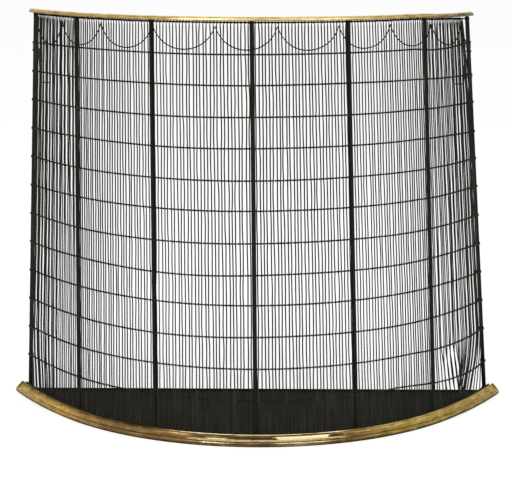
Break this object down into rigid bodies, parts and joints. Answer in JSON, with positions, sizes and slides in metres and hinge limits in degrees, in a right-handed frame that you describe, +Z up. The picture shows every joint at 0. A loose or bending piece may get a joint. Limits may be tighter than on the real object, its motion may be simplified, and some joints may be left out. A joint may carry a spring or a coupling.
{
  "type": "nursery fire guard",
  "caption": "Bow-fronted wirework fireplace guard with a brass top rail, a brass-edged floor tray, iron posts and two swinging wall hooks; open at the back and top.",
  "frame": {"origin": "on the floor under the middle of the guard's bounding box", "axes": "+X runs along the hearth to the viewer's right, +Y points back into the fireplace, +Z up; the bowed front faces -Y"},
  "size_m": [0.929, 0.3322, 0.7307],
  "materials": {
    "brass": "old brass, mottled brown and polished on top",
    "blackened_iron": "blackened wrought iron, matt",
    "japanned_sheet": "dark japanned sheet iron, matt, worn",
    "worn_iron": "worn iron wire, dull",
    "rusty_iron": "rusty iron wire, matt"
  },
  "bodies": {
    "guard": {"floor_plate": "japanned_sheet", "rim_wire": "rusty_iron", "kerb": "japanned_sheet", "kerb_rivets": "japanned_sheet", "base_moulding": "brass", "moulding_screws": "worn_iron", "post_1": "blackened_iron", "post_2": "blackened_iron", "post_3": "blackened_iron", "post_4": "blackened_iron", "post_5": "blackened_iron", "post_6": "blackened_iron", "post_7": "blackened_iron", "post_rivets": "blackened_iron", "bottom_rod": "blackened_iron", "top_rod": "blackened_iron", "top_rail": "brass", "wires_bay_1": "blackened_iron", "wires_bay_2": "blackened_iron", "wires_bay_3": "blackened_iron", "wires_bay_4": "blackened_iron", "wires_bay_5": "blackened_iron", "wires_bay_6": "blackened_iron", "cross_wire_01": "blackened_iron", "cross_wire_02": "blackened_iron", "cross_wire_03": "blackened_iron", "cross_wire_04": "blackened_iron", "cross_wire_05": "blackened_iron", "cross_wire_06": "blackened_iron", "cross_wire_07": "blackened_iron", "cross_wire_08": "blackened_iron", "cross_wire_09": "blackened_iron", "cross_wire_10": "blackened_iron", "cross_wire_11": "blackened_iron", "cross_wire_12": "blackened_iron", "swag_wire": "blackened_iron", "hook_pin_left": "worn_iron", "hook_pin_right": "worn_iron", "binding_left": "rusty_iron", "binding_right": "rusty_iron", "low_binding_right": "rusty_iron"},
    "hook_left": {"hook_left": "worn_iron"},
    "hook_right": {"hook_right": "worn_iron"}
  },
  "joints": [
    {"name": "hook_left_swing", "type": "hinge", "parent": "guard", "child": "hook_left", "pos_m": [-0.40221, 0.1475, 0.65509], "axis": [1, 0, 0], "range_deg": [-10, 110]},
    {"name": "hook_right_swing", "type": "hinge", "parent": "guard", "child": "hook_right", "pos_m": [0.37859, 0.1475, 0.65509], "axis": [1, 0, 0], "range_deg": [-10, 110]}
  ]
}
